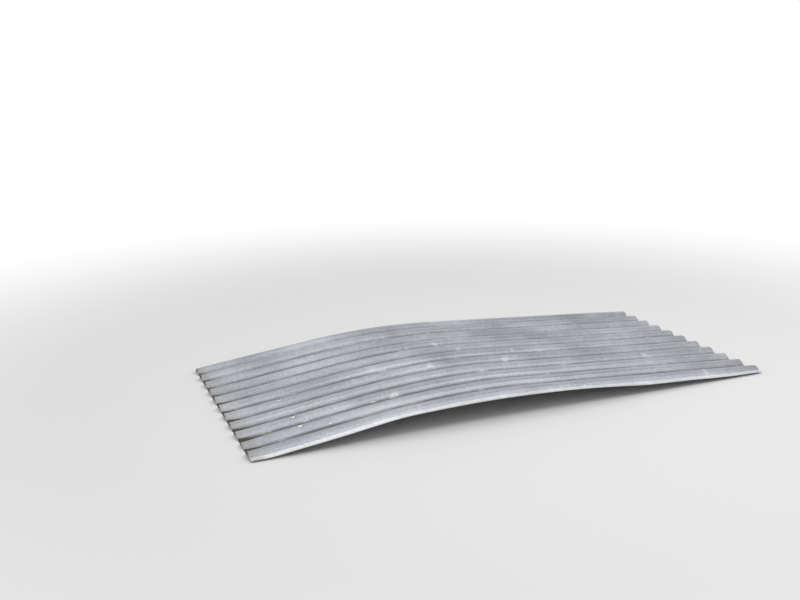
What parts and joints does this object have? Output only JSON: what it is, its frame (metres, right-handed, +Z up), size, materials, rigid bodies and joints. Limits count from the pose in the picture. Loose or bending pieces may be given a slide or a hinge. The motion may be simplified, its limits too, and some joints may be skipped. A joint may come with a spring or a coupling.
{
  "type": "corrugated metal sheet",
  "caption": "Galvanised corrugated steel sheet with round waves, edges turned down, fixing holes through its crests and a long shallow bend towards one end.",
  "frame": {"origin": "on the floor, below the middle of the sheet's bounding box", "axes": "+X along the waves, from the drooping end to the straight end; +Y across the sheet, away from the near edge; +Z up"},
  "size_m": [1.7958, 0.8382, 0.0853],
  "materials": {
    "galvanised_steel": "weathered hot-dip zinc, dull satin with faint spangle"
  },
  "bodies": {
    "root": {"corrugated_sheet": "galvanised_steel"}
  },
  "joints": []
}
